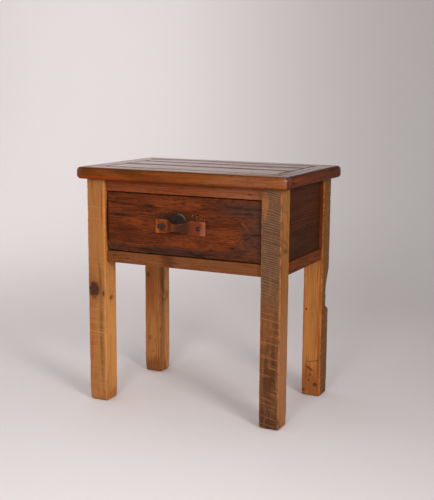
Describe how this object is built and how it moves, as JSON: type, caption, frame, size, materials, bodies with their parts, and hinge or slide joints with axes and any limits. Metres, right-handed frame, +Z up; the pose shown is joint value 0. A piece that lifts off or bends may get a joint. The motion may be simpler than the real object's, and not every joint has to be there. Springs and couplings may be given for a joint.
{
  "type": "side table with drawer",
  "caption": "Side table of reclaimed timber with square posts, a mitred plank top and a dovetailed drawer with a strap pull.",
  "frame": {"origin": "on the floor, under the middle of the top", "axes": "+Z up, +X to the right of someone facing the drawer, the drawer front faces -Y"},
  "size_m": [0.614, 0.4, 0.65],
  "materials": {
    "post_wood": "reclaimed timber, sawn faces, waxed",
    "rail_wood": "reclaimed timber, waxed",
    "panel_wood": "dark reclaimed timber, waxed",
    "top_wood": "reclaimed timber, planed, satin wax",
    "drawer_front_wood": "dark streaked timber, waxed",
    "drawer_box_wood": "plain planed timber",
    "bottom_board": "plain thin board",
    "inner_wood": "plain planed timber",
    "strap": "stiff oiled strap leather",
    "nail_iron": "dark wrought iron",
    "fastener_steel": "plain steel"
  },
  "bodies": {
    "table": {"back_panel_lower_board": "panel_wood", "back_panel_upper_board": "panel_wood", "front_lower_rail": "rail_wood", "front_upper_rail": "rail_wood", "left_kicker": "inner_wood", "left_lower_rail": "rail_wood", "left_panel_lower_board": "panel_wood", "left_panel_upper_board": "panel_wood", "left_runner": "inner_wood", "left_upper_rail": "rail_wood", "leg_front_left": "post_wood", "leg_front_right": "post_wood", "leg_rear_left": "post_wood", "leg_rear_right": "post_wood", "mitre_splines": "inner_wood", "rear_lower_rail": "rail_wood", "rear_stop_blocks": "inner_wood", "rear_upper_rail": "rail_wood", "right_kicker": "inner_wood", "right_lower_rail": "rail_wood", "right_panel_lower_board": "panel_wood", "right_panel_upper_board": "panel_wood", "right_runner": "inner_wood", "right_upper_rail": "rail_wood", "top_front_board": "top_wood", "top_front_plank": "top_wood", "top_left_board": "top_wood", "top_middle_plank": "top_wood", "top_rear_board": "top_wood", "top_rear_plank": "top_wood", "top_right_board": "top_wood", "top_screws": "fastener_steel", "travel_stop_pegs": "inner_wood"},
    "drawer": {"drawer_back": "drawer_box_wood", "drawer_bottom": "bottom_board", "drawer_bottom_nails": "fastener_steel", "drawer_front": "drawer_front_wood", "drawer_left_side": "drawer_box_wood", "drawer_pull": "strap", "drawer_pull_nails": "nail_iron", "drawer_right_side": "drawer_box_wood"}
  },
  "joints": [
    {"name": "drawer_slide", "type": "slide", "parent": "table", "child": "drawer", "axis": [0, -1, 0], "range_m": [0, 0.235]}
  ]
}
